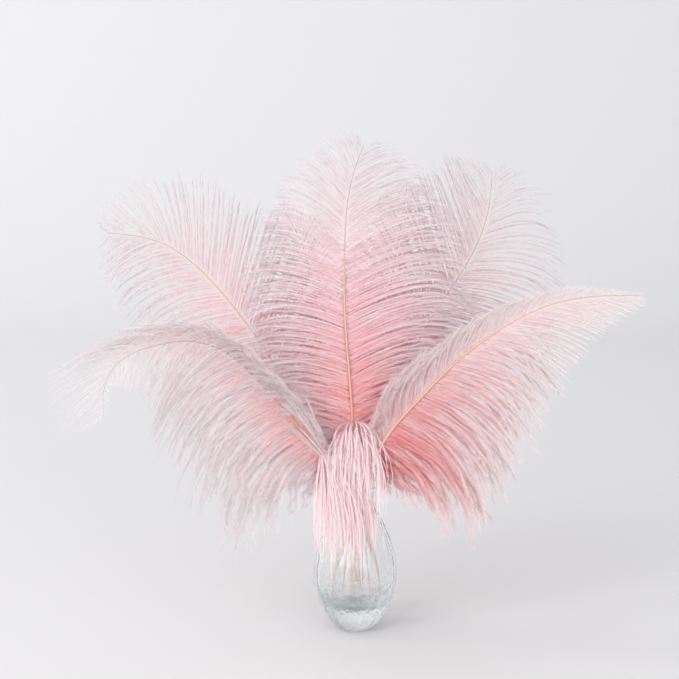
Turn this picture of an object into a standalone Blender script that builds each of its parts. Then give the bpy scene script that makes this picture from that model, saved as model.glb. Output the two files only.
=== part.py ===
"""A bunch of seven dyed ostrich feathers standing loose in a small ribbed glass vase.

Metres, +Z up. The origin is the centre of the vase's flat foot and the front is towards -Y.
Lengths below are in millimetres and are scaled by MM where a mesh is made.
"""

import bmesh
import bpy
import numpy as np

MM = 0.001

# Vase
VASE_STEPS = 48
FLUTES = 16
FLUTE_DEPTH = 0.55
FLUTES_FROM = 3.0
FLUTES_TO = 110.0
FLUTE_FADE = 12.0
FOOT_RADIUS = 14.0
RIM_HEIGHT = 119.0
OUTER_WALL = [(20.4, RIM_HEIGHT), (17.4, 113.0), (15.9, 107.0), (17.7, 99.5), (23.4, 86.0), (29.2, 71.0),
              (32.7, 57.0), (33.7, 44.5), (32.2, 31.5), (28.2, 19.5), (21.6, 8.0), (FOOT_RADIUS + 1.2, 1.2)]
INNER_WALL = [(0.0, 19.0), (9.0, 19.3), (18.0, 21.6), (25.8, 28.5), (30.0, 38.0), (30.7, 48.0), (29.6, 59.0),
              (26.3, 71.5), (20.9, 86.0), (15.3, 99.5), (13.7, 107.0), (15.3, 113.0), (18.5, RIM_HEIGHT)]

# Feathers
QUILL_RADIUS = 1.25
QUILL_END_RADIUS = 0.9
SHAFT_TIP_RADIUS = 0.3
VANE_HALF_THICKNESS = 0.35
SHAFT_BLEND = 4.0
QUILL_STATIONS = 5
VANE_STATIONS = 20
ACROSS = (0.0, 0.04, 0.3, 0.55, 0.8, 1.0)
NUDGE = 0.001
SHORTEST_BARB = 12.0
GROWN_AT = 0.12
GROWTH_POWER = 0.7
SHAFT_READINGS = 400
QUILL_TAPER_ENDS = 0.1
WALL_MARGIN = 0.05
RIM_TURNS = (150, 110, 70, 30)

# Each shaft is a smooth line through its points, from the cut end inside the vase to the tip.
# vane_from is the height where the vane starts, and face is the way its flat side looks.
# left and right hold three values each, at the vane's foot, middle and tip: the barbs' length,
# their angle from the shaft in degrees, and how far they turn towards the fall line, which is
# stated at the vane's foot and tip. A side may have a fall line of its own.
FEATHERS = {
    "feather_centre": dict(
        shaft=[(-3, 5, 21.5), (-2, 4, 43), (-1.5, 0.8, 108), (-3, 3, 180), (-8, 5, 247), (-9, 10, 312),
               (-3, 18, 365), (6, 24, 391)],
        vane_from=133.0, face=(0, -1, 0), fall=[(0, 0, -1), (0, 0, -1)],
        left=dict(length=(50, 185, 75), angle=(58, 80, 28), droop=(0.3, 0.75, 0.3)),
        right=dict(length=(50, 275, 72), angle=(58, 80, 30), droop=(0.3, 0.85, 0.3))),
    "feather_back_left": dict(
        shaft=[(14, 10, 23.5), (12, 9, 43), (-2.5, 3.8, 108), (-41, 12, 177), (-76, 20, 230),
               (-115, 30, 279), (-159, 38, 312), (-203, 46, 319)],
        vane_from=139.0, face=(0, -1, 0), fall=[(0, 0, -1), (-0.2, 0, -1)],
        left=dict(length=(105, 140, 65), angle=(85, 60, 25), droop=(0.9, 0.7, 0.4)),
        right=dict(length=(40, 185, 70), angle=(50, 66, 30), droop=(0.2, 0.35, 0.3))),
    "feather_back_right": dict(
        shaft=[(-13, 13, 24), (-10.5, 12.5, 43), (3, 6.6, 108), (32, 16, 186), (56, 24, 242),
               (85, 33, 286), (107, 40, 334), (111, 44, 369)],
        vane_from=139.0, face=(0, -1, 0), fall=[(0, 0, -1), (0.2, 0, -1)],
        left=dict(length=(40, 190, 75), angle=(50, 66, 30), droop=(0.2, 0.3, 0.2)),
        right=dict(length=(115, 190, 75), angle=(88, 66, 28), droop=(0.9, 0.75, 0.4))),
    "feather_inner_left": dict(
        shaft=[(1, 19, 24.5), (1, 19, 43), (-4.6, 10.3, 108), (-8, 19, 142), (-15, 33, 185),
               (-31, 48, 257), (-46, 60, 313), (-60, 70, 337)],
        vane_from=139.0, face=(0, -1, 0), fall=[(0, 0, -1), (0, 0.3, -1)],
        left=dict(length=(40, 125, 60), angle=(55, 66, 25), droop=(0.3, 0.7, 0.6)),
        right=dict(length=(40, 125, 60), angle=(55, 66, 25), droop=(0.3, 0.7, 0.6))),
    "feather_inner_right": dict(
        shaft=[(5, 16, 23), (5, 15, 43), (4.6, 9.9, 108), (8, 24, 142), (14, 42, 184), (25, 58, 248),
               (35, 73, 304), (41, 86, 337), (44, 100, 356)],
        vane_from=139.0, face=(0, -1, 0.2), fall=[(0, 0, -1), (0, 0.3, -1)],
        left=dict(length=(40, 125, 60), angle=(55, 66, 25), droop=(0.3, 0.7, 0.6)),
        right=dict(length=(40, 125, 60), angle=(55, 66, 25), droop=(0.3, 0.7, 0.6))),
    "feather_front_left": dict(
        shaft=[(19, -12, 27), (18, -13, 43), (-3, -11.4, 108), (-21, -16, 141), (-44, -26, 171),
               (-75, -46, 211), (-105, -70, 242), (-130, -90, 251), (-152, -108, 250), (-172, -121, 243),
               (-184, -129, 228), (-186, -134, 204)],
        vane_from=129.0, face=(0, -1, 0.3), fall=[(0.1, -0.75, -1), (-0.2, -0.8, -0.6)],
        left=dict(length=(115, 165, -20), angle=(78, 48, 50), droop=(1.0, 0.9, 0.3)),
        right=dict(length=(60, 95, 110), angle=(30, 36, 26), droop=(-0.4, 2.2, 0.1))),
    "feather_front_right": dict(
        shaft=[(-19, -11, 27), (-17, -12, 43), (3, -8.5, 108), (13, -12.5, 138), (23, -19, 160),
               (50, -33, 196), (80, -47, 230), (110, -59, 255), (140, -69, 273), (169, -77, 282),
               (212, -86, 285)],
        vane_from=131.0, face=(0, -1, 0.3), fall=[(0, -0.3, -1), (0.3, -0.7, -0.6)],
        left=dict(length=(50, 44, 12), angle=(48, 44, 20), droop=(0.6, 0.9, 0.2),
                  fall=[(0.3, -0.6, 0.75), (1, -0.3, 0.1)]),
        right=dict(length=(118, 105, 38), angle=(92, 30, 15), droop=(1.0, 0.6, 0.1))),
}

GLASS_COLOR = (0.93, 0.96, 0.96)
FEATHER_COLOR = (0.90, 0.58, 0.62)


def spline(points, at):
    """Natural cubic spline through the points, spaced by chord length; at runs from 0 to 1."""
    points = np.array(points, float)
    knots = np.append(0.0, np.cumsum(np.linalg.norm(np.diff(points, axis=0), axis=1)))
    gaps = np.diff(knots)
    slopes = np.diff(points, axis=0) / gaps[:, None]
    matrix = np.eye(len(points))
    bends = np.zeros_like(points)
    for k in range(1, len(points) - 1):
        matrix[k, k - 1:k + 2] = gaps[k - 1], 2 * (gaps[k - 1] + gaps[k]), gaps[k]
        bends[k] = 6 * (slopes[k] - slopes[k - 1])
    second = np.linalg.solve(matrix, bends)
    where = np.clip(at, 0, 1) * knots[-1]
    k = np.clip(np.searchsorted(knots, where, side="right") - 1, 0, len(gaps) - 1)
    gap = gaps[k, None]
    after = (where - knots[k])[:, None] / gap
    before = 1 - after
    curve = (before ** 3 - before) * second[k] + (after ** 3 - after) * second[k + 1]
    return before * points[k] + after * points[k + 1] + curve * gap ** 2 / 6


def unit(vectors):
    return vectors / np.linalg.norm(vectors, axis=-1, keepdims=True)


def blend(values, along):
    """Quadratic Bezier through three values: the first, a pull towards the second, and the last."""
    first, middle, last = (np.array(value, float) for value in values)
    return (1 - along) ** 2 * first + 2 * along * (1 - along) * middle + along ** 2 * last


def barb_lengths(side, along):
    """Length of the barbs: quick to grow at the vane's foot, and rounded off at its tip."""
    grown = np.clip(along / GROWN_AT, 0, 1) ** GROWTH_POWER
    rounded = np.sqrt(np.clip(1 - along ** 4, 0, 1))
    return np.maximum(blend(side["length"], along), SHORTEST_BARB) * grown * rounded


def feather_rings(feather):
    """Rings of points round the feather, from the quill's cut end to the tip.

    A barb sets off at its angle from the shaft and bends towards the fall line, evenly along its
    length. The section is the barbs' line given a thickness; where they have no length it is round.
    """
    fine = np.linspace(0, 1, SHAFT_READINGS)
    heights = spline(feather["shaft"], fine)[:, 2]
    start = fine[np.argmax(heights > feather["vane_from"])]
    quill = np.linspace(0, start, QUILL_STATIONS, endpoint=False)
    vane = start + (1 - start) * np.linspace(0, 1, VANE_STATIONS)
    at = np.concatenate([quill, vane])
    along = np.clip((at - start) / (1 - start), 0, 1)[:, None]

    middle = spline(feather["shaft"], at)
    forward = unit(spline(feather["shaft"], at + NUDGE) - spline(feather["shaft"], at - NUDGE))
    face = np.array(feather["face"], float)
    normal = unit(face - (forward @ face)[:, None] * forward)
    sideways = np.cross(forward, normal)
    radius = np.interp(at, (0, QUILL_TAPER_ENDS, start, 1),
                       (QUILL_END_RADIUS, QUILL_RADIUS, QUILL_RADIUS, SHAFT_TIP_RADIUS))[:, None]

    top = []
    bottom = []
    columns = [(-1, t) for t in ACROSS[:0:-1]] + [(1, t) for t in ACROSS]
    for sign, t in columns:
        side = feather["right"] if sign > 0 else feather["left"]
        length = barb_lengths(side, along)
        angle = np.radians(blend(side["angle"], along))
        droop = blend(side["droop"], along)
        first_fall, last_fall = np.array(side.get("fall", feather["fall"]), float)
        fall = unit((1 - along) * first_fall + along * last_fall)
        set_off = np.cos(angle) * forward + sign * np.sin(angle) * sideways
        bend = droop * t * t / 2
        reach = set_off * (t - bend) + fall * bend
        centre = middle + length * reach
        heading = set_off * (1 - droop * t) + fall * droop * t
        beside = np.gradient(middle, axis=0) + length * np.gradient(reach, axis=0)
        flat = np.clip(length * t / SHAFT_BLEND, 0, 1)
        out = unit((1 - flat) * normal + flat * unit(np.cross(sign * heading, beside)))
        half = (1 - flat) * radius + flat * VANE_HALF_THICKNESS
        turn = np.pi / 2 * t
        edge = centre + sign * np.sin(turn) * radius * sideways
        top.append(edge + np.cos(turn) * half * out)
        bottom.append(edge - np.cos(turn) * half * out)
    return np.stack(top + bottom[-2:0:-1], axis=1)


def lofted_mesh(name, rings):
    """A closed mesh through the rings, with a cap on each end.

    The front half of a ring and its back half split their quads along matching diagonals, so that
    a twisted stretch of the thin vane keeps its thickness.
    """
    rows, columns = rings.shape[:2]
    row, column = (index.ravel() for index in np.mgrid[:rows - 1, :columns])
    after = (column + 1) % columns
    a, b = row * columns + column, row * columns + after
    c, d = b + columns, a + columns
    front = (column < columns // 2)[:, None]
    halves = [np.where(front, np.stack([a, b, c], 1), np.stack([a, b, d], 1)),
              np.where(front, np.stack([a, c, d], 1), np.stack([b, c, d], 1))]
    faces = np.concatenate(halves).tolist()
    first_cap = list(range(columns))[::-1]
    last_cap = list(range((rows - 1) * columns, rows * columns))
    mesh = bpy.data.meshes.new(name)
    mesh.from_pydata((rings.reshape(-1, 3) * MM).tolist(), [], [*faces, first_cap, last_cap])
    face_outwards(mesh)
    return mesh


def face_outwards(mesh):
    shape = bmesh.new()
    shape.from_mesh(mesh)
    bmesh.ops.recalc_face_normals(shape, faces=shape.faces)
    shape.to_mesh(mesh)
    shape.free()
    mesh.shade_smooth()


def rim_arc():
    """Half circle over the rim, from the inner wall to the outer one."""
    inner, outer = INNER_WALL[-1][0], OUTER_WALL[0][0]
    middle, radius = (inner + outer) / 2, (outer - inner) / 2
    turns = np.radians(RIM_TURNS)
    return [(middle + radius * np.cos(turn), RIM_HEIGHT + radius * np.sin(turn)) for turn in turns]


def vase_object(collection):
    """Turned from its wall's section, then the outer wall is drawn in between the ribs."""
    profile = [*INNER_WALL, *rim_arc(), *OUTER_WALL, (FOOT_RADIUS, 0.0), (0.0, 0.0)]
    mesh = bpy.data.meshes.new("vase profile")
    points = [(radius * MM, 0, height * MM) for radius, height in profile]
    mesh.from_pydata(points, [(k, k + 1) for k in range(len(points) - 1)], [])
    blank = bpy.data.objects.new("vase blank", mesh)
    collection.objects.link(blank)
    screw = blank.modifiers.new("turn", "SCREW")
    screw.steps = VASE_STEPS
    screw.render_steps = VASE_STEPS
    screw.use_merge_vertices = True
    screw.merge_threshold = 0.00001
    screw.use_smooth_shade = True
    graph = bpy.context.evaluated_depsgraph_get()
    turned = bpy.data.meshes.new_from_object(blank.evaluated_get(graph))
    bpy.data.objects.remove(blank)

    outer_heights = np.array([height for radius, height in OUTER_WALL[::-1]])
    outer_radii = np.array([radius for radius, height in OUTER_WALL[::-1]])
    for vertex in turned.vertices:
        x, y, height = np.array(vertex.co) / MM
        radius = np.hypot(x, y)
        on_outer_wall = abs(radius - np.interp(height, outer_heights, outer_radii)) < WALL_MARGIN
        fade = min(height - FLUTES_FROM, FLUTES_TO - height) / FLUTE_FADE
        if not on_outer_wall or fade <= 0:
            continue
        depth = FLUTE_DEPTH * min(fade, 1) * (1 - np.cos(FLUTES * np.arctan2(y, x))) / 2
        vertex.co.x *= 1 - depth / radius
        vertex.co.y *= 1 - depth / radius
    face_outwards(turned)
    vase = bpy.data.objects.new("vase", turned)
    collection.objects.link(vase)
    return vase


def principled(name, color, roughness, transmission=0.0):
    material = bpy.data.materials.new(name)
    material.use_nodes = True
    shader = material.node_tree.nodes["Principled BSDF"]
    shader.inputs["Base Color"].default_value = (*color, 1)
    shader.inputs["Roughness"].default_value = roughness
    shader.inputs["Metallic"].default_value = 0.0
    shader.inputs["Transmission Weight"].default_value = transmission
    return material


for old in list(bpy.data.objects):
    bpy.data.objects.remove(old)

bunch = bpy.data.collections.new("ostrich feathers in a vase")
bpy.context.scene.collection.children.link(bunch)

vase = vase_object(bunch)
vase.data.materials.append(principled("clear glass", GLASS_COLOR, 0.03, transmission=1.0))

for name, feather in FEATHERS.items():
    piece = bpy.data.objects.new(name, lofted_mesh(name, feather_rings(feather)))
    piece.data.materials.append(principled(name, FEATHER_COLOR, 0.7))
    bunch.objects.link(piece)
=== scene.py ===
"""A bunch of seven dyed ostrich feathers standing loose in a small ribbed glass vase.

Sizes are in millimetres and turn into metres where a mesh is made; only the lamps and the camera
are placed in metres. +Z is up, the front is towards -Y, and the origin is the centre of the vase's
foot.
"""

import bpy
import mathutils
import numpy as np
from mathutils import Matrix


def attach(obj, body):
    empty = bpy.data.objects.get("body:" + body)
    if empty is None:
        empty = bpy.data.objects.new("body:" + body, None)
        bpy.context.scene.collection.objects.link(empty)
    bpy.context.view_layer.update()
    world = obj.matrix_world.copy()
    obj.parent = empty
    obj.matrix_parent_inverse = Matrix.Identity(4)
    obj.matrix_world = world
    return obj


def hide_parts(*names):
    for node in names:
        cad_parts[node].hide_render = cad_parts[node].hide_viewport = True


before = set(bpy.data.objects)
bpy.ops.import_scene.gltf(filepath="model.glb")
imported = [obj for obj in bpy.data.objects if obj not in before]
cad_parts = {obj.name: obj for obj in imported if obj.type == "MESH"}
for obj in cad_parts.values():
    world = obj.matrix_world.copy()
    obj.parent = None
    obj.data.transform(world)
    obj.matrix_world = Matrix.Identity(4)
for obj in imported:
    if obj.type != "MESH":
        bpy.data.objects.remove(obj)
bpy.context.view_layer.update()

# ---------------------------------------------------------------------------------- the vase
# A small blown vase of clear glass, shaped in a ribbed mould while soft, so that shallow upright
# flutes run from the foot to the neck. Its wall is 2 to 3 mm thick and its crackled base a solid
# 19 mm. It stands on the ring round its slightly hollow foot, and its rim was melted round.

MM = 0.001
FOOT_RADIUS = 14.0
RIM_HEIGHT = 119.0
OUTER_WALL = [(20.4, RIM_HEIGHT), (17.4, 113.0), (15.9, 107.0), (17.7, 99.5), (23.4, 86.0),
              (29.2, 71.0), (32.7, 57.0), (33.7, 44.5), (32.2, 31.5), (28.2, 19.5), (21.6, 8.0),
              (FOOT_RADIUS + 1.2, 1.2), (FOOT_RADIUS, 0.0)]
FOOT_HOLLOW = [(FOOT_RADIUS - 3.0, 0.0), (8.5, 1.0), (5.0, 1.9), (0.3, 2.4)]
INNER_WALL = [(0.3, 19.0), (9.0, 19.3), (18.0, 21.6), (25.8, 28.5), (30.0, 38.0), (30.7, 48.0),
              (29.6, 59.0), (26.3, 71.5), (20.9, 86.0), (15.3, 99.5), (13.7, 107.0),
              (15.3, 113.0), (18.5, RIM_HEIGHT)]
WALL_STEPS = 70
RIM_STEPS = 8
HOLLOW_STEPS = 10
ROUND_STEPS = 192
FLUTES = 16
OUTER_FLUTE = 0.75
INNER_FLUTE = 0.45
FLUTE_HEIGHTS = (2.0, 14.0, 100.0, 114.0)
FLUTE_LIMIT = 0.25
GLASS_TINT = (0.985, 0.993, 0.993)
GLASS_ROUGHNESS = 0.01
GLASS_ABSORPTION = (0.72, 0.86, 0.88)
GLASS_ABSORPTION_PER_M = 7.0
GLASS_IOR = 1.5
RIPPLES_PER_M = 55.0
RIPPLE_DETAIL = 1.0
RIPPLE_DEPTH = 1.2
RIPPLE_STRENGTH = 0.35
CRACKLE_PER_M = 300.0
CRACKLE_BELOW = 52.0
CRACKLE_SHARE = 6.0


def line_through(points, at):
    """Natural cubic spline through the points, spaced by chord length; at runs from 0 to 1."""
    points = np.array(points, float)
    knots = np.append(0.0, np.cumsum(np.linalg.norm(np.diff(points, axis=0), axis=1)))
    gaps = np.diff(knots)
    slopes = np.diff(points, axis=0) / gaps[:, None]
    matrix = np.eye(len(points))
    bends = np.zeros_like(points)
    for k in range(1, len(points) - 1):
        matrix[k, k - 1:k + 2] = gaps[k - 1], 2 * (gaps[k - 1] + gaps[k]), gaps[k]
        bends[k] = 6 * (slopes[k] - slopes[k - 1])
    second = np.linalg.solve(matrix, bends)
    where = np.clip(at, 0, 1) * knots[-1]
    k = np.clip(np.searchsorted(knots, where, side="right") - 1, 0, len(gaps) - 1)
    gap = gaps[k, None]
    after = (where - knots[k])[:, None] / gap
    before = 1 - after
    curve = (before ** 3 - before) * second[k] + (after ** 3 - after) * second[k + 1]
    return before * points[k] + after * points[k + 1] + curve * gap ** 2 / 6


def tube_triangles(rows, columns):
    """Two triangles for each cell of a grid of points whose last column meets its first."""
    row, column = (index.ravel() for index in np.mgrid[:rows - 1, :columns])
    after = (column + 1) % columns
    a, b = row * columns + column, row * columns + after
    c, d = b + columns, a + columns
    return np.concatenate([np.stack([a, b, c], 1), np.stack([a, c, d], 1)])


def fan_triangles(first, columns, up):
    """Closes a ring of points, whose numbers start at first, with a fan from its first point."""
    turn = np.arange(1, columns - 1)
    ends = (turn, turn + 1) if up else (turn + 1, turn)
    return first + np.stack([np.zeros_like(turn), *ends], 1)


def new_piece(name, points, triangles, materials):
    """An object from whole arrays: points in millimetres, and three point numbers a triangle."""
    mesh = bpy.data.meshes.new(name)
    mesh.vertices.add(len(points))
    mesh.vertices.foreach_set("co", (points * MM).astype(np.float32).ravel())
    mesh.loops.add(triangles.size)
    mesh.loops.foreach_set("vertex_index", triangles.astype(np.int32).ravel())
    mesh.polygons.add(len(triangles))
    mesh.polygons.foreach_set("loop_start", np.arange(0, triangles.size, 3, dtype=np.int32))
    mesh.update(calc_edges=True)
    mesh.shade_smooth()
    for material in materials:
        mesh.materials.append(material)
    piece = bpy.data.objects.new(name, mesh)
    bpy.context.scene.collection.objects.link(piece)
    return piece


def vase_rings():
    """The wall's section carried round the axis, drawn in between the ribs.

    The section runs up the inner wall, over the rim in a half circle, down the outer wall and in
    under the hollow foot. A wall's radius loses its flute depth times (1 - cos(16 turn)) / 2 times
    a fade in height, and never more than a quarter of itself.
    """
    inner = line_through(INNER_WALL, np.linspace(0, 1, WALL_STEPS))
    outer = line_through(OUTER_WALL, np.linspace(0, 1, WALL_STEPS))
    middle = (inner[-1, 0] + outer[0, 0]) / 2
    lip = (outer[0, 0] - inner[-1, 0]) / 2
    over = np.linspace(np.pi, 0, RIM_STEPS + 2)[1:-1]
    rim = np.stack([middle + lip * np.cos(over), RIM_HEIGHT + lip * np.sin(over)], 1)
    hollow = line_through(FOOT_HOLLOW, np.linspace(0, 1, HOLLOW_STEPS))
    section = np.concatenate([inner, rim, outer, hollow])
    depth = np.repeat([INNER_FLUTE, 0.0, OUTER_FLUTE, 0.0],
                      [len(inner), len(rim), len(outer), len(hollow)])
    fade = np.interp(section[:, 1], FLUTE_HEIGHTS, (0, 1, 1, 0))
    turn = np.linspace(0, 2 * np.pi, ROUND_STEPS, endpoint=False)
    flute = (depth * fade)[:, None] * (1 - np.cos(FLUTES * turn)) / 2
    radius = section[:, :1] - np.minimum(flute, section[:, :1] * FLUTE_LIMIT)
    height = np.broadcast_to(section[:, 1:], radius.shape)
    return np.stack([radius * np.cos(turn), radius * np.sin(turn), height], -1)


def shader_material(name):
    """A new material, its node tree and its Principled shader."""
    material = bpy.data.materials.new(name)
    material.use_nodes = True
    return material, material.node_tree, material.node_tree.nodes["Principled BSDF"]


def clear_glass():
    """Clear glass with a faint blue-green tint in its thickness.

    The height of its bump is a soft noise, the ripples from blowing, plus a finer noise, the
    crackle, times a share that grows evenly from none at CRACKLE_BELOW to all of it at the foot.
    """
    material, tree, shader = shader_material("clear glass")
    shader.inputs["Base Color"].default_value = (*GLASS_TINT, 1)
    shader.inputs["Roughness"].default_value = GLASS_ROUGHNESS
    shader.inputs["Transmission Weight"].default_value = 1.0
    shader.inputs["IOR"].default_value = GLASS_IOR
    place = tree.nodes.new("ShaderNodeTexCoord")
    ripples = tree.nodes.new("ShaderNodeTexNoise")
    ripples.inputs["Scale"].default_value = RIPPLES_PER_M
    ripples.inputs["Detail"].default_value = RIPPLE_DETAIL
    crackle = tree.nodes.new("ShaderNodeTexNoise")
    crackle.inputs["Scale"].default_value = CRACKLE_PER_M
    axes = tree.nodes.new("ShaderNodeSeparateXYZ")
    low = tree.nodes.new("ShaderNodeMapRange")
    low.inputs["From Min"].default_value = CRACKLE_BELOW * MM
    low.inputs["From Max"].default_value = 0.0
    low.inputs["To Max"].default_value = CRACKLE_SHARE
    surface = tree.nodes.new("ShaderNodeMath")
    surface.operation = "MULTIPLY_ADD"
    bump = tree.nodes.new("ShaderNodeBump")
    bump.inputs["Strength"].default_value = RIPPLE_STRENGTH
    bump.inputs["Distance"].default_value = RIPPLE_DEPTH * MM
    tree.links.new(place.outputs["Object"], ripples.inputs["Vector"])
    tree.links.new(place.outputs["Object"], crackle.inputs["Vector"])
    tree.links.new(place.outputs["Object"], axes.inputs["Vector"])
    tree.links.new(axes.outputs["Z"], low.inputs["Value"])
    tree.links.new(crackle.outputs["Fac"], surface.inputs[0])
    tree.links.new(low.outputs["Result"], surface.inputs[1])
    tree.links.new(ripples.outputs["Fac"], surface.inputs[2])
    tree.links.new(surface.outputs["Value"], bump.inputs["Height"])
    tree.links.new(bump.outputs["Normal"], shader.inputs["Normal"])
    depth = tree.nodes.new("ShaderNodeVolumeAbsorption")
    depth.inputs["Color"].default_value = (*GLASS_ABSORPTION, 1)
    depth.inputs["Density"].default_value = GLASS_ABSORPTION_PER_M
    tree.links.new(depth.outputs["Volume"], tree.nodes["Material Output"].inputs["Volume"])
    return material


rings = vase_rings()
rows, columns = rings.shape[:2]
last_ring = (rows - 1) * columns
vase_triangles = np.concatenate([tube_triangles(rows, columns)[:, ::-1],
                                 fan_triangles(0, columns, up=True),
                                 fan_triangles(last_ring, columns, up=False)])
vase = new_piece("glass_vase", rings.reshape(-1, 3), vase_triangles, [clear_glass()])
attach(vase, "root")
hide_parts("vase")

# ------------------------------------------------------------------------- the centre feather
# A dyed plume, the tallest, which stands nearly upright. Its horny shaft carries soft barbs on both
# sides, and each barb carries long loose barbules that never hook together, so the vane hangs open
# and the barbs gather in locks. Its lowest barbs are limp and pale and hang forward over the neck.

# The shaft. NUDGE is the step along a curve that its direction is read over.
NUDGE = 0.001
SHAFT_READINGS = 400
SHAFT_STEPS = 140
SHAFT_SIDES = 10
QUILL_RADIUS = 1.25
QUILL_END_RADIUS = 0.9
QUILL_TAPER_ENDS = 0.1
SHAFT_TIP_RADIUS = 0.2
GROOVE_DEPTH = 0.25
GROOVE_SHARPNESS = 4

# The barbs. Sways and lifts are shares of a barb's length, angles are in degrees, and a pair of
# errors is the one in neat barbs and what looseness adds to it.
SHORTEST_BARB = 12.0
GROWN_AT = 0.12
GROWTH_POWER = 0.7
BARB_STEPS = 11
BARB_WIDTH = 0.32
BARB_TIP_WIDTH = 0.12
BARB_ROLL = 0.6
CROWDING = 1.15
FOOT_JITTER = (0.2, 0.8)
LOCK_SIZE = 2.5
LOCK_GATHER = 0.07
LOCK_SWAY = 0.007
LOCK_LIFT = 0.009
LOOSE_POWER = 3
LENGTH_ERROR = (0.03, 0.12)
ANGLE_ERROR = (0.6, 4)
SWAY_ERROR = (0.004, 0.03)
SLOPE_ERROR = (0.025, 0.07)
DROOP_ERROR = 0.08
WAVE_SHARE = 0.25
CURL_TURNS = 2.0
NEAT_CURL = 0.2
LOOSE_CURL = 2.0
THINNING = 0.9
THINNING_POWER = 1.5

# The barbules, with leans in degrees.
BARBULE_WIDTH = 0.2
BARBULE_LENGTH = (4.0, 9.0)
BARBULE_SPREAD = (1.0, 1.5)
LEAST_LEAN = 3.0
NEAT_LEAN = 13.0
FLUFFY_LEAN = 62.0
OUT_OF_FACE = 0.55
SLIVER_ROLL = 0.6
SLIVER_HOOK = 0.15
SHORTER_AT_TIP = 0.5
FLUFF_KEEPS = 0.3

# The map: the shaft has the band at its left edge, and each barb a thin strip of the rest.
SHAFT_BAND = 0.05
SHAFT_BAND_FILL = 0.9
VANE_STRIP = (0.01, 0.48)
STRIP_HALF = 0.0006
SLIVER_MAP_STEP = 0.02


def unit(vectors):
    """Each vector divided by its length."""
    return vectors / np.linalg.norm(vectors, axis=-1, keepdims=True)


def pull(values, along):
    """Quadratic Bezier through three values: the first, a pull towards the second, the last."""
    first, middle, last = (np.array(value, float) for value in values)
    return (1 - along) ** 2 * first + 2 * along * (1 - along) * middle + along ** 2 * last


def barb_lengths(side, along):
    """Length of the barbs: quick to grow at the vane's foot, and rounded off at its tip.

    The side's own curve of lengths times (along / GROWN_AT) ^ GROWTH_POWER, up to 1, times
    sqrt(1 - along^4).
    """
    grown = np.clip(along / GROWN_AT, 0, 1) ** GROWTH_POWER
    rounded = np.sqrt(np.clip(1 - along ** 4, 0, 1))
    return np.maximum(pull(side["length"], along), SHORTEST_BARB) * grown * rounded


def vane_start(feather):
    """Where on the shaft, from 0 to 1, the vane begins."""
    fine = np.linspace(0, 1, SHAFT_READINGS)
    heights = line_through(feather["shaft"], fine)[:, 2]
    return fine[np.argmax(heights > feather["vane_from"])]


def shaft_frame(feather, at):
    """Points on the shaft with its directions: forward to the tip, out of its face, to its right."""
    middle = line_through(feather["shaft"], at)
    ahead = line_through(feather["shaft"], at + NUDGE)
    forward = unit(ahead - line_through(feather["shaft"], at - NUDGE))
    face = np.array(feather["face"], float)
    normal = unit(face - (forward @ face)[:, None] * forward)
    return middle, forward, normal, np.cross(forward, normal)


def shaft_surface(feather):
    """The quill and shaft: a tapering round rod with a groove down its back, on a grid.

    A point is middle + radius * (cos(turn) * sideways + (sin(turn) + groove) * normal), where the
    groove is GROOVE_DEPTH * (-sin(turn))^4 on the back of the vane's stretch.
    """
    start = vane_start(feather)
    at = np.linspace(0, 1, SHAFT_STEPS)
    middle, forward, normal, sideways = shaft_frame(feather, at)
    radius = np.interp(at, (0, QUILL_TAPER_ENDS, start, 1),
                       (QUILL_END_RADIUS, QUILL_RADIUS, QUILL_RADIUS, SHAFT_TIP_RADIUS))
    turn = np.linspace(0, 2 * np.pi, SHAFT_SIDES, endpoint=False)
    groove = GROOVE_DEPTH * np.clip(-np.sin(turn), 0, 1) ** GROOVE_SHARPNESS
    groove = groove * (at > start)[:, None]
    across = (radius[:, None] * np.cos(turn))[..., None] * sideways[:, None]
    out = (radius[:, None] * (np.sin(turn) + groove))[..., None] * normal[:, None]
    points = (middle[:, None] + across + out).reshape(-1, 3)
    last = (SHAFT_STEPS - 1) * SHAFT_SIDES
    triangles = np.concatenate([tube_triangles(SHAFT_STEPS, SHAFT_SIDES),
                                fan_triangles(0, SHAFT_SIDES, up=False),
                                fan_triangles(last, SHAFT_SIDES, up=True)])
    round_it = np.broadcast_to(np.linspace(0, 1, SHAFT_SIDES), (SHAFT_STEPS, SHAFT_SIDES))
    up_it = np.broadcast_to(at[:, None], round_it.shape)
    uv = np.stack([round_it * SHAFT_BAND * SHAFT_BAND_FILL, up_it], -1).reshape(-1, 2)
    return points, triangles, uv, np.zeros(len(triangles))


def looser(error, loose):
    """The neat error plus what looseness, from 0 to 1, adds to it."""
    neat, added = error
    return neat + added * loose


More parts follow.
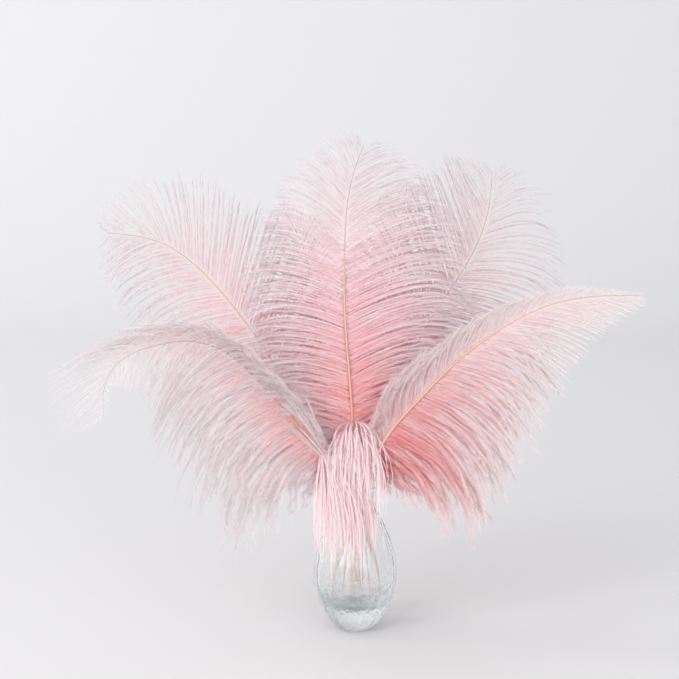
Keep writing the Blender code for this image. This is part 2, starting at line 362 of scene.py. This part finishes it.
def vane_barbs(feather, rng):
    """Every barb's foot, directions, length and bend, as arrays, with the scatter of real down.

    Barbs stand evenly along the shaft, crowded towards its foot. Each sets off at
    cos(angle) * forward + sin(angle) * sideways + slope * normal, with a small error of its own in
    length, angle, slope and droop. Each lock of neighbours shares a sway and a lift, and leans
    towards its own middle, so that the tips gather. Errors grow as (1 - along)^3 towards the
    vane's foot, where barbs stray and curl more.
    """
    sides = []
    start = vane_start(feather)
    count = feather["barbs"]
    for sign, side in ((-1, feather["left"]), (1, feather["right"])):
        even = (np.arange(count) + rng.uniform(*FOOT_JITTER, count)) / count
        along = even ** feather.get("crowding", CROWDING)
        middle, forward, normal, sideways = shaft_frame(feather, start + (1 - start) * along)
        loose = (1 - along) ** LOOSE_POWER
        lock = np.cumsum(rng.random(count) < 1 / LOCK_SIZE)
        length = barb_lengths(side, along) * rng.normal(1, looser(LENGTH_ERROR, loose))
        angle = np.radians(pull(side["angle"], along) + rng.normal(0, looser(ANGLE_ERROR, loose)))
        droop_error = side.get("scatter", DROOP_ERROR)
        droop = pull(side["droop"], along) * rng.normal(1, droop_error, count)
        spread = np.bincount(lock, along) / np.maximum(np.bincount(lock), 1)
        gather = (spread[lock] - along) * np.linalg.norm(middle[-1] - middle[0])
        gather = gather * feather.get("gather", LOCK_GATHER)
        lock_sway = rng.normal(0, LOCK_SWAY, lock[-1] + 1)[lock] * length
        own_sway = rng.normal(0, looser(SWAY_ERROR, loose)) * length
        lock_lift = rng.normal(0, LOCK_LIFT, lock[-1] + 1)[lock] * length
        slope = rng.normal(0, looser(SLOPE_ERROR, loose))
        set_off = unit(np.cos(angle)[:, None] * forward + sign * np.sin(angle)[:, None] * sideways
                       + slope[:, None] * normal)
        first_fall, last_fall = np.array(side.get("fall", feather["fall"]), float)
        paler = side.get("paler", 0.0)
        near_middle, whole_width = VANE_STRIP
        strip = near_middle + whole_width * (paler + (1 - paler) * along)
        fall = unit((1 - along)[:, None] * first_fall + along[:, None] * last_fall)
        sides.append(dict(foot=middle, set_off=set_off, fall=fall, forward=forward, normal=normal,
                          length=length, droop=droop,
                          gather=gather + lock_sway + own_sway,
                          lift=lock_lift,
                          curl=NEAT_CURL + side.get("curl", LOOSE_CURL) * loose,
                          phase=rng.random(count), strip=0.5 + sign * strip,
                          fullness=1 - THINNING * along ** THINNING_POWER, fluff=1 - along,
                          paling=np.ones(count), finish=np.ones(count)))
    return {key: np.concatenate([side[key] for side in sides]) for key in sides[0]}


TUFT_HABIT = dict(fall=(0, 0.04, -1.0), droop=(1.1, 1.35), sway=1.6, lift=1.2, curl=0.7,
                  strip=(0.26, 0.36), fullness=0.28, fluff=0.4, paling=0.4, finish=2)
DOWN_HABIT = dict(fall=(0, 0, -1.0), droop=(0.1, 0.5), sway=1.5, lift=1.5, curl=0.9,
                  strip=(-0.2, 0.2), fullness=1.2, fluff=0.5, paling=0.7, finish=1)
TUFT_REACH = (0.5, 1.1)
DOWN_LEAN = (2, 15)


def limp_barbs(habit, lengths, foot, set_off, forward, normal, rng):
    """Limp barbs from their feet and directions, with the habit of their kind and a scatter."""
    count = len(foot)
    steps = np.ones(count)
    return dict(foot=foot, set_off=set_off, fall=np.tile(habit["fall"], (count, 1)),
                forward=forward, normal=normal,
                length=rng.uniform(*lengths, count), droop=rng.uniform(*habit["droop"], count),
                gather=rng.normal(0, habit["sway"], count),
                lift=rng.normal(0, habit["lift"], count),
                curl=habit["curl"] * steps, phase=rng.random(count),
                strip=0.5 + rng.uniform(*habit["strip"], count),
                fullness=habit["fullness"] * steps, fluff=habit["fluff"] * steps,
                paling=habit["paling"] * steps, finish=habit["finish"] * steps)


def hanging_barbs(feather, tuft, rng):
    """Limp barbs from the vane's foot that tip forward over the rim and hang before the glass.

    Each sets off along (spread, ahead, up), with the last two shortened by a share of its own.
    """
    count = tuft["barbs"]
    foot = shaft_frame(feather, rng.uniform(*tuft["along"], count))[0]
    spread = rng.uniform(*tuft["spread"], count)
    ahead, up = np.outer(tuft["ahead"], rng.uniform(*TUFT_REACH, count))
    return limp_barbs(TUFT_HABIT, tuft["length"], foot, unit(np.stack([spread, ahead, up], 1)),
                      np.tile((1.0, 0, 0), (count, 1)), np.tile((0, -1.0, 0), (count, 1)), rng)


def standing_down(feather, down, rng):
    """Limp barbs all round the vane's foot, which stand up along the shaft and lean out a little.

    Each sets off at cos(lean) * forward + sin(lean) * away, where away turns round the shaft.
    """
    count = down["barbs"]
    foot, forward, normal, sideways = shaft_frame(feather, rng.uniform(*down["along"], count))
    turn = rng.uniform(0, 2 * np.pi, (count, 1))
    away = np.cos(turn) * sideways + np.sin(turn) * normal
    lean = np.radians(rng.uniform(*DOWN_LEAN, (count, 1)))
    set_off = np.cos(lean) * forward + np.sin(lean) * away
    return limp_barbs(DOWN_HABIT, down["length"], foot, set_off, forward, normal, rng)


def barb_points(barbs, which, t):
    """Points on barbs at t, which runs from 0 at the shaft to 1 at the barb's tip.

    A barb sets off along its own direction and turns evenly towards its fall line:
    foot + length * (set_off * (t - k t^2 / 2) + fall * k t^2 / 2), where k is its droop.
    Two pulls that grow as t^2 (1 + sin(2 pi (t + phase)) / 4) are added: gather, along the shaft
    towards the rest of its lock, and lift, out of the vane's face. A curl of two turns goes round
    that line, at curl * t from it, so it is wider towards the tip.
    """
    t = t[..., None]
    length, droop = barbs["length"][which][..., None], barbs["droop"][which][..., None]
    bend = droop * t * t / 2
    reach = barbs["set_off"][which] * (t - bend) + barbs["fall"][which] * bend
    phase = barbs["phase"][which][..., None]
    wave = t * t * (1 + WAVE_SHARE * np.sin(2 * np.pi * (t + phase)))
    curl = barbs["curl"][which][..., None] * t
    turn = 2 * np.pi * (CURL_TURNS * t + phase)
    gather = wave * barbs["gather"][which][..., None] + curl * np.cos(turn)
    lift = wave * barbs["lift"][which][..., None] + curl * np.sin(turn)
    return (barbs["foot"][which] + length * reach + gather * barbs["forward"][which]
            + lift * barbs["normal"][which])


def barb_directions(barbs, which, t):
    """Heading of the barb at t, the way across it in the vane's face, and the way out of it."""
    ahead = barb_points(barbs, which, t + NUDGE) - barb_points(barbs, which, t - NUDGE)
    heading = unit(ahead)
    across = unit(np.cross(heading, barbs["normal"][which]))
    return heading, across, np.cross(across, heading)


def barb_surface(barbs, rng):
    """The barbs as tapering ribbons on one grid: barbs by steps along them by two edges.

    An edge is middle -/+ width / 2 * (cos(roll) * across + sin(roll) * out), and the width falls
    evenly from BARB_WIDTH at the shaft to BARB_TIP_WIDTH at the barb's tip.
    """
    count = len(barbs["length"])
    which = np.arange(count)[:, None]
    t = np.broadcast_to(np.linspace(0, 1, BARB_STEPS + 1), (count, BARB_STEPS + 1))
    middle = barb_points(barbs, which, t)
    _, across, out = barb_directions(barbs, which, t)
    roll = rng.normal(0, BARB_ROLL, (count, 1, 1))
    width = (BARB_WIDTH + (BARB_TIP_WIDTH - BARB_WIDTH) * t)[..., None] / 2
    edge = width * (np.cos(roll) * across + np.sin(roll) * out)
    points = np.stack([middle - edge, middle + edge], 2).reshape(-1, 3)
    first = (which * (BARB_STEPS + 1) + np.arange(BARB_STEPS)).ravel() * 2
    triangles = np.concatenate([first[:, None] + (0, 1, 3), first[:, None] + (0, 3, 2)])
    strip = barbs["strip"][:, None, None] + np.array([-STRIP_HALF, STRIP_HALF])
    paled = t * barbs["paling"][:, None]
    u = SHAFT_BAND + (1 - SHAFT_BAND) * np.broadcast_to(paled[..., None], (*t.shape, 2))
    uv = np.stack([u, np.broadcast_to(strip, u.shape)], -1).reshape(-1, 2)
    return points, triangles, uv, np.tile(np.repeat(barbs["finish"], BARB_STEPS), 2)


def barbule_surface(barbs, rng, count):
    """The barbules as slivers, one triangle each, scattered over the barbs, thinner at their tips.

    A sliver sets off at cos(lean) * heading + sin(lean) * away, with away mostly within the vane's
    face. It leans 3 to 13 degrees, and up to 75 in the loosest down. It is 4 to 9 mm long, and
    towards the barb's tip down to half of that.
    """
    chance = np.maximum(barbs["length"], 1.0) * barbs["fullness"]
    which = rng.choice(len(chance), count, p=chance / chance.sum())
    t = rng.beta(*BARBULE_SPREAD, count)
    foot = barb_points(barbs, which, t)
    heading, across, out = barb_directions(barbs, which, t)
    fluff = barbs["fluff"][which]
    most_lean = NEAT_LEAN + FLUFFY_LEAN * fluff ** LOOSE_POWER * np.sqrt(t)
    lean = np.radians(rng.uniform(LEAST_LEAN, most_lean))[:, None]
    turn = (np.pi * rng.integers(0, 2, count) + rng.normal(0, OUT_OF_FACE, count))[:, None]
    away = np.cos(turn) * across + np.sin(turn) * out
    along = np.cos(lean) * heading + np.sin(lean) * away
    roll = rng.normal(0, SLIVER_ROLL, count)[:, None]
    beside = unit(np.cross(along, np.cos(roll) * out + np.sin(roll) * away))
    shortening = 1 - (SHORTER_AT_TIP - FLUFF_KEEPS * fluff) * t
    length = (rng.uniform(*BARBULE_LENGTH, count) * shortening)[:, None]
    half = BARBULE_WIDTH / 2
    tip = foot + along * length - away * np.sin(lean) * length * SLIVER_HOOK
    points = np.stack([foot - beside * half, foot + beside * half, tip], 1).reshape(-1, 3)
    triangles = np.arange(count * 3).reshape(-1, 3)
    u = SHAFT_BAND + (1 - SHAFT_BAND) * t * barbs["paling"][which]
    strip = barbs["strip"][which]
    ahead = np.minimum(u + SLIVER_MAP_STEP, 1.0)
    corners = [u, strip - STRIP_HALF, u, strip + STRIP_HALF, ahead, strip]
    uv = np.stack(corners, 1).reshape(-1, 2)
    return points, triangles, uv, barbs["finish"][which]


def joined(surfaces):
    """Several surfaces as one: their points, triangles, map and material numbers."""
    points, triangles, uv, numbers = zip(*surfaces)
    firsts = np.cumsum([0] + [len(part) for part in points[:-1]])
    triangles = [part + first for part, first in zip(triangles, firsts)]
    return tuple(np.concatenate(parts) for parts in (points, triangles, uv, numbers))


DEEP_GAIN = 1.5
PALE_OUTWARD = 1.6
PALE_UPWARD = 2.2
STRAND_DETAIL = 2.0
STRAND_STRETCH = (3.0, 420.0)
STRAND_THRESHOLD = 0.42
STRAND_CONTRAST = 5.0


def dye_and_shade_group():
    """Node group: the dye's colour from the map, whose u runs out along a barb, and whose v is 0.5
    at the vane's foot and 0 or 1 at its tip, on the left and right side.

    Deep, at the roots near the foot, is (1 - u / reach) * (1 - up)^falloff * DEEP_GAIN, up to 1.
    Pale, towards the tips, is the greater of u^PALE_OUTWARD and up^PALE_UPWARD. The tip colour is
    paler in dye, and greyer and on most feathers darker than the body; that grey darkening is
    painted shade, the shade and see-through grey of the sparse, backlit tips. A noise drawn
    out along the barbs gives each one a tone of its own.
    """
    group = bpy.data.node_groups.new("feather dye and painted shade", "ShaderNodeTree")
    for label in ("Root Color", "Body Color", "Tip Color", "Strand Color"):
        group.interface.new_socket(label, in_out="INPUT", socket_type="NodeSocketColor")
    for label in ("Root Reach", "Foot Falloff", "Strand Amount"):
        group.interface.new_socket(label, in_out="INPUT", socket_type="NodeSocketFloat")
    group.interface.new_socket("Map", in_out="INPUT", socket_type="NodeSocketVector")
    group.interface.new_socket("Color", in_out="OUTPUT", socket_type="NodeSocketColor")
    nodes, link = group.nodes, group.links.new
    given, result = nodes.new("NodeGroupInput"), nodes.new("NodeGroupOutput")

    def maths(operation, first, second):
        node = nodes.new("ShaderNodeMath")
        node.operation = operation
        for socket, value in zip(node.inputs, (first, second)):
            if isinstance(value, bpy.types.NodeSocket):
                link(value, socket)
            else:
                socket.default_value = value
        return node.outputs["Value"]

    def between(amount, first, second):
        node = nodes.new("ShaderNodeMix")
        node.data_type = "RGBA"
        link(amount, node.inputs["Factor"])
        link(first, node.inputs["A"])
        link(second, node.inputs["B"])
        return node.outputs["Result"]

    axes = nodes.new("ShaderNodeSeparateXYZ")
    link(given.outputs["Map"], axes.inputs["Vector"])
    outward = axes.outputs["X"]
    centred = maths("SUBTRACT", axes.outputs["Y"], 0.5)
    up_shaft = maths("MULTIPLY", maths("ABSOLUTE", centred, 0.0), 2.0)
    near_foot = maths("SUBTRACT", 1.0, up_shaft)
    near_root = maths("SUBTRACT", 1.0, maths("DIVIDE", outward, given.outputs["Root Reach"]))
    near_foot = maths("POWER", near_foot, given.outputs["Foot Falloff"])
    shape = maths("MULTIPLY", maths("MAXIMUM", near_root, 0.0), near_foot)
    deep = maths("MINIMUM", maths("MULTIPLY", shape, DEEP_GAIN), 1.0)
    # The tip colour mixed in here is partly painted shade: the tips are greyed and darkened.
    pale_tips = maths("POWER", outward, PALE_OUTWARD)
    pale = maths("MAXIMUM", pale_tips, maths("POWER", up_shaft, PALE_UPWARD))
    colour = between(pale, given.outputs["Body Color"], given.outputs["Tip Color"])
    colour = between(deep, colour, given.outputs["Root Color"])

    strands = nodes.new("ShaderNodeTexNoise")
    strands.inputs["Scale"].default_value = 1.0
    strands.inputs["Detail"].default_value = STRAND_DETAIL
    stretch = nodes.new("ShaderNodeCombineXYZ")
    along_barb, from_barb_to_barb = STRAND_STRETCH
    link(maths("MULTIPLY", outward, along_barb), stretch.inputs["X"])
    link(maths("MULTIPLY", axes.outputs["Y"], from_barb_to_barb), stretch.inputs["Y"])
    link(stretch.outputs["Vector"], strands.inputs["Vector"])
    above = maths("SUBTRACT", strands.outputs["Fac"], STRAND_THRESHOLD)
    uneven = maths("MULTIPLY", above, STRAND_CONTRAST)
    amount = nodes.new("ShaderNodeClamp")
    link(maths("MULTIPLY", uneven, given.outputs["Strand Amount"]), amount.inputs["Value"])
    colour = between(amount.outputs["Result"], colour, given.outputs["Strand Color"])
    link(colour, result.inputs["Color"])
    return group


FEATHER_DYE_AND_SHADE = dye_and_shade_group()
DOWN_ROUGHNESS = 0.6
HORN_ROUGHNESS = 0.55
SOFT_SPECULAR = 0.3
QUILL_COLOUR_ENDS = 0.3
SHAFT_COLOUR_FROM = 0.4


def plume_material(name, root, body, tip, strand, reach, falloff=1.6, strand_amount=0.5):
    """Dyed down, matt, with the dye group's colour, whose greyer tips are partly painted shade. The
    deep colour goes as far out as reach.
    """
    material, tree, shader = shader_material(name)
    place = tree.nodes.new("ShaderNodeUVMap")
    place.uv_map = "OFBake"
    dye = tree.nodes.new("ShaderNodeGroup")
    dye.node_tree = FEATHER_DYE_AND_SHADE
    colours = {"Root Color": root, "Body Color": body, "Tip Color": tip, "Strand Color": strand}
    for label, colour in colours.items():
        dye.inputs[label].default_value = (*colour, 1)
    dye.inputs["Root Reach"].default_value = reach
    dye.inputs["Foot Falloff"].default_value = falloff
    dye.inputs["Strand Amount"].default_value = strand_amount
    tree.links.new(place.outputs["UV"], dye.inputs["Map"])
    tree.links.new(dye.outputs["Color"], shader.inputs["Base Color"])
    shader.inputs["Roughness"].default_value = DOWN_ROUGHNESS
    shader.inputs["Specular IOR Level"].default_value = SOFT_SPECULAR
    return material


def shaft_material(name, quill, shaft, tip, fade_from=0.75, fade_to=1.0):
    """Horn: pale at the quill, tan along the vane, and fading towards the tip."""
    material, tree, shader = shader_material(name)
    nodes, link = tree.nodes, tree.links.new
    place = nodes.new("ShaderNodeUVMap")
    place.uv_map = "OFBake"
    axes = nodes.new("ShaderNodeSeparateXYZ")
    link(place.outputs["UV"], axes.inputs["Vector"])
    ramp = nodes.new("ShaderNodeValToRGB")
    ramp.color_ramp.elements.remove(ramp.color_ramp.elements[1])
    ramp.color_ramp.elements[0].color = (*quill, 1)
    for position, colour in ((QUILL_COLOUR_ENDS, quill), (SHAFT_COLOUR_FROM, shaft),
                             (fade_from, shaft), (fade_to, tip)):
        ramp.color_ramp.elements.new(position).color = (*colour, 1)
    link(axes.outputs["Y"], ramp.inputs["Fac"])
    link(ramp.outputs["Color"], shader.inputs["Base Color"])
    shader.inputs["Roughness"].default_value = HORN_ROUGHNESS
    shader.inputs["Specular IOR Level"].default_value = SOFT_SPECULAR
    return material


def plume(name, feather, seed, materials):
    """One feather, shaft and down in one piece, in place of its plain blade.

    Its materials are the shaft's, the vane's and, where it has a tuft, the tuft's.
    """
    rng = np.random.default_rng(seed)
    barbs = vane_barbs(feather, rng)
    extra = [make(feather, feather[kind], rng)
             for kind, make in (("tuft", hanging_barbs), ("down", standing_down)) if kind in feather]
    barbs = {key: np.concatenate([barbs[key], *(more[key] for more in extra)]) for key in barbs}
    surfaces = [shaft_surface(feather), barb_surface(barbs, rng),
                barbule_surface(barbs, rng, feather["barbules"])]
    points, triangles, uv, numbers = joined(surfaces)
    piece = new_piece(name, points, triangles, materials)
    piece.data.polygons.foreach_set("material_index", numbers.astype(np.int32))
    bake_map = piece.data.uv_layers.new(name="OFBake")
    bake_map.data.foreach_set("uv", uv[triangles.ravel()].astype(np.float32).ravel())
    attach(piece, "root")
    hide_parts(name.replace("plume", "feather"))


CORAL = (0.97, 0.41, 0.42)
BODY_PINK = (0.90, 0.67, 0.72)
# The grey, darkened tip colours here and below are painted shade of the sparse, backlit tips, over
# their paler dye.
TIP_PINK_AND_SHADE = (0.61, 0.55, 0.575)
WHITE_STRAND = (0.90, 0.85, 0.87)
QUILL_CREAM = (0.95, 0.79, 0.72)
SHAFT_TAN = (0.78, 0.42, 0.29)
HORN = shaft_material("shaft horn", QUILL_CREAM, SHAFT_TAN, (0.52, 0.38, 0.34))
SOFT_PINK_DOWN = plume_material("pink down", CORAL, BODY_PINK, TIP_PINK_AND_SHADE, WHITE_STRAND,
                                reach=0.52)
TUFT_DOWN = plume_material("palest tuft down", (0.98, 0.70, 0.71), (0.97, 0.81, 0.83),
                           (0.94, 0.80, 0.82), (0.98, 0.88, 0.89), reach=0.4)

CENTRE = dict(
    tuft=dict(barbs=220, along=(0.31, 0.4), spread=(-0.3, 0.5), ahead=(-0.75, 0.3),
              length=(76, 106)),
    barbs=235, barbules=158000, gather=0.045,
    shaft=[(-3, 5, 21.5), (-2, 4, 43), (-1.5, 0.8, 108), (-3, 3, 180), (-8, 5, 247),
           (-9, 10, 312), (-3, 18, 365), (6, 24, 391)],
    vane_from=133.0, face=(0, -1, 0), fall=[(0, 0, -1), (0, 0, -1)],
    left=dict(length=(50, 185, 75), angle=(58, 80, 28), droop=(0.3, 0.75, 0.3)),
    right=dict(length=(50, 275, 72), angle=(58, 80, 30), droop=(0.3, 0.85, 0.3)))
plume("plume_centre", CENTRE, 11, [HORN, SOFT_PINK_DOWN, TUFT_DOWN])

# ------------------------------------------------------------------------- the two back feathers
# Two plumes that lean out to the left and the right behind the centre one. They are of the same
# horn and down, and took less of the dye; their darker, greyer tone, most of all at the tips, is
# partly painted shade.

# Its darker body and grey, darkened tip colour are partly painted shade.
PALE_PINK_DOWN = plume_material("pale pink down", CORAL, (0.84, 0.64, 0.68),
                                (0.61, 0.55, 0.57), (0.80, 0.74, 0.76), reach=0.5)
BACK_LEFT = dict(
    barbs=150, barbules=115000,
    shaft=[(14, 10, 23.5), (12, 9, 43), (-2.5, 3.8, 108), (-41, 12, 177), (-76, 20, 230),
           (-115, 30, 279), (-159, 38, 312), (-203, 46, 319)],
    vane_from=139.0, face=(0, -1, 0), fall=[(0, 0, -1), (-0.2, 0, -1)],
    left=dict(length=(105, 140, 65), angle=(85, 60, 25), droop=(0.9, 0.7, 0.4)),
    right=dict(length=(40, 185, 70), angle=(50, 66, 30), droop=(0.2, 0.35, 0.3)))
BACK_RIGHT = dict(
    barbs=150, barbules=115000,
    shaft=[(-13, 13, 24), (-10.5, 12.5, 43), (3, 6.6, 108), (32, 16, 186), (56, 24, 242),
           (85, 33, 286), (107, 40, 334), (111, 44, 369)],
    vane_from=139.0, face=(0, -1, 0), fall=[(0, 0, -1), (0.2, 0, -1)],
    left=dict(length=(40, 190, 75), angle=(50, 66, 30), droop=(0.2, 0.3, 0.2)),
    right=dict(length=(115, 190, 75), angle=(88, 66, 28), droop=(0.9, 0.75, 0.4)))
plume("plume_back_left", BACK_LEFT, 12, [HORN, PALE_PINK_DOWN])
plume("plume_back_right", BACK_RIGHT, 13, [HORN, PALE_PINK_DOWN])

# ------------------------------------------------------------------------ the two inner feathers
# Two smaller plumes at the back of the bunch, dyed as the centre one is, that fill it out. One tip
# leans left, and the other curls away to the back.

INNER_SIDE = dict(length=(40, 125, 60), angle=(55, 66, 25), droop=(0.3, 0.7, 0.6))
INNER_LEFT = dict(
    barbs=110, barbules=70000,
    shaft=[(1, 19, 24.5), (1, 19, 43), (-4.6, 10.3, 108), (-8, 19, 142), (-15, 33, 185),
           (-31, 48, 257), (-46, 60, 313), (-60, 70, 337)],
    vane_from=139.0, face=(0, -1, 0), fall=[(0, 0, -1), (0, 0.3, -1)],
    left=INNER_SIDE, right=INNER_SIDE)
INNER_RIGHT = dict(
    barbs=110, barbules=70000,
    shaft=[(5, 16, 23), (5, 15, 43), (4.6, 9.9, 108), (8, 24, 142), (14, 42, 184), (25, 58, 248),
           (35, 73, 304), (41, 86, 337), (44, 100, 356)],
    vane_from=139.0, face=(0, -1, 0.2), fall=[(0, 0, -1), (0, 0.3, -1)],
    left=INNER_SIDE, right=INNER_SIDE)
plume("plume_inner_left", INNER_LEFT, 14, [HORN, SOFT_PINK_DOWN])
plume("plume_inner_right", INNER_RIGHT, 15, [HORN, SOFT_PINK_DOWN])

# ------------------------------------------------------------------------ the two front feathers
# Two plumes that arch out to the left and the right in front. Their faces look up and forward, so
# the barbs fold over the shaft, and they are greyer, with streaky strands; the grey is partly
# painted shade, on the left one's folded top and on the right one's side away from the key lamp.
# Limp barbs from the left one's foot join the tuft over the neck.

# Its grey tip and grey streaky strands are partly painted shade: the shade on its folded top and
# between its barbs.
GREY_PINK_AND_SHADE_DOWN = plume_material("grey pink down with painted shade", (1.0, 0.50, 0.50), (0.99, 0.86, 0.87),
                                (0.79, 0.72, 0.74), (0.72, 0.67, 0.67), reach=0.32,
                                strand_amount=0.6)
# Its darker, more saturated dusky tone is partly painted shade, of the right side away from the key
# lamp.
DUSKY_PINK_AND_SHADE_DOWN = plume_material("dusky pink down with painted shade", (0.82, 0.23, 0.24), (0.83, 0.66, 0.67),
                                 (0.75, 0.68, 0.68), (0.84, 0.76, 0.75), reach=1.3,
                                 falloff=2.8)
FRONT_LEFT = dict(
    barbs=190, barbules=165000,
    shaft=[(19, -12, 27), (18, -13, 43), (-3, -11.4, 108), (-21, -16, 141), (-44, -26, 171),
           (-75, -46, 211), (-105, -70, 242), (-130, -90, 251), (-152, -108, 250),
           (-172, -121, 243), (-184, -129, 228), (-186, -134, 204)],
    vane_from=129.0, face=(0, -1, 0.3), fall=[(0.1, -0.75, -1), (-0.2, -0.8, -0.6)],
    crowding=1.5,
    tuft=dict(barbs=420, along=(0.285, 0.34), spread=(-0.1, 1.1), ahead=(-0.42, -0.4),
              length=(58, 96)),
    down=dict(barbs=30, along=(0.26, 0.31), length=(60, 110)),
    left=dict(length=(115, 165, -20), angle=(78, 48, 50), droop=(1.0, 0.9, 0.3), curl=3.0),
    right=dict(length=(60, 95, 85), angle=(28, 32, 24), droop=(0.5, 1.4, 0.9), scatter=0.15,
               fall=[(-0.7, -0.75, -0.35), (-0.8, -0.8, -0.6)]))
FRONT_RIGHT = dict(
    barbs=190, barbules=140000,
    shaft=[(-19, -11, 27), (-17, -12, 43), (3, -8.5, 108), (13, -12.5, 138), (23, -19, 160),
           (50, -33, 196), (80, -47, 230), (110, -59, 255), (140, -69, 273), (169, -77, 282),
           (212, -86, 285)],
    vane_from=131.0, face=(0, -1, 0.3), fall=[(0, -0.3, -1), (0.3, -0.7, -0.6)],
    crowding=1.4,
    left=dict(length=(64, 44, 12), angle=(48, 44, 20), droop=(0.9, 0.9, 0.2), paler=0.35,
              fall=[(0.6, -0.3, 0.75), (1, -0.3, 0.1)]),
    right=dict(length=(118, 105, 38), angle=(92, 30, 15), droop=(0.85, 0.6, 0.1), curl=2.2))
COVERED_HORN = shaft_material("covered horn", QUILL_CREAM, SHAFT_TAN, (0.62, 0.50, 0.50),
                              fade_from=0.5, fade_to=0.6)
plume("plume_front_left", FRONT_LEFT, 16, [COVERED_HORN, GREY_PINK_AND_SHADE_DOWN, TUFT_DOWN])
plume("plume_front_right", FRONT_RIGHT, 17, [HORN, DUSKY_PINK_AND_SHADE_DOWN])

# ------------------------------------------------------------------- floor, light and camera
# A pale seamless sheet of paper that runs flat under the vase and sweeps up behind it, a large soft
# lamp at the front left, a weaker one at the front right, and one that lights the paper behind.

FLOOR_GREY = (0.76, 0.75, 0.76)
FLOOR_HALF_WIDTH = 4000.0
FLOOR_FRONT = -4000.0
SWEEP_START = 1500.0
SWEEP_RADIUS = 900.0
SWEEP_STEPS = 24
WALL_TOP = 3500.0
FLOOR_GAP = 0.3
PAPER_ROUGHNESS = 0.9
BUNCH_MIDDLE = (0, 0, 0.2)
PAPER_BEHIND = (-0.8, 2.4, 1.2)
SKY_COLOUR = (0.98, 0.99, 1.0)
SKY_STRENGTH = 0.72
CLEAR_BOUNCES = 24
SOFT_BOUNCES = 8
CAMERA_PLACE = (-0.013, -1.4815, 0.4727)
CAMERA_TILT = 81.0
CAMERA_LENS = 99.4
CAMERA_FILM = 36.0


def backdrop():
    """A section in Y and Z, flat, then a quarter circle, then upright, carried along X."""
    turn = np.linspace(0, np.pi / 2, SWEEP_STEPS)
    sweep = np.stack([SWEEP_START + SWEEP_RADIUS * np.sin(turn),
                      SWEEP_RADIUS * (1 - np.cos(turn))], 1)
    section = np.concatenate([[(FLOOR_FRONT, 0)], sweep, [(sweep[-1, 0], WALL_TOP)]])
    left = np.insert(section, 0, -FLOOR_HALF_WIDTH, axis=1)
    right = np.insert(section, 0, FLOOR_HALF_WIDTH, axis=1)
    points = np.stack([left, right], 1).reshape(-1, 3)
    first = np.arange(len(section) - 1)[:, None] * 2
    triangles = np.concatenate([first + (0, 1, 3), first + (0, 3, 2)])
    material, _, shader = shader_material("pale paper")
    shader.inputs["Base Color"].default_value = (*FLOOR_GREY, 1)
    shader.inputs["Roughness"].default_value = PAPER_ROUGHNESS
    return new_piece("floor", points - (0, 0, FLOOR_GAP), triangles, [material])


def lamp(name, place, aim, size, power):
    """A square area lamp at place, in metres, turned so that it faces aim; power is in watts."""
    data = bpy.data.lights.new(name, "AREA")
    data.size = size
    data.energy = power
    light = bpy.data.objects.new(name, data)
    bpy.context.scene.collection.objects.link(light)
    aim_line = np.array(aim, float) - np.array(place, float)
    light.location = place
    light.rotation_euler = mathutils.Vector(aim_line).to_track_quat("-Z", "Y").to_euler()


backdrop()
lamp("key", (-1.6, -1.9, 1.3), BUNCH_MIDDLE, size=2.2, power=42.0)
lamp("fill", (0.9, -2.6, 0.9), BUNCH_MIDDLE, size=2.0, power=21.0)
lamp("wall", (-2.2, 0.4, 2.2), PAPER_BEHIND, size=1.5, power=22.0)

world = bpy.data.worlds.new("studio")
world.use_nodes = True
world.node_tree.nodes["Background"].inputs["Color"].default_value = (*SKY_COLOUR, 1)
world.node_tree.nodes["Background"].inputs["Strength"].default_value = SKY_STRENGTH
scene = bpy.context.scene
scene.world = world
scene.view_settings.view_transform = "Standard"
scene.cycles.max_bounces = CLEAR_BOUNCES
scene.cycles.glossy_bounces = CLEAR_BOUNCES
scene.cycles.transmission_bounces = CLEAR_BOUNCES
scene.cycles.diffuse_bounces = SOFT_BOUNCES

camera = bpy.data.objects.new("camera", bpy.data.cameras.new("camera"))
scene.collection.objects.link(camera)
bpy.context.scene.camera = camera
camera.data.lens = CAMERA_LENS
camera.data.sensor_width = CAMERA_FILM
camera.location = CAMERA_PLACE
camera.rotation_euler = (np.radians(CAMERA_TILT), 0, 0)
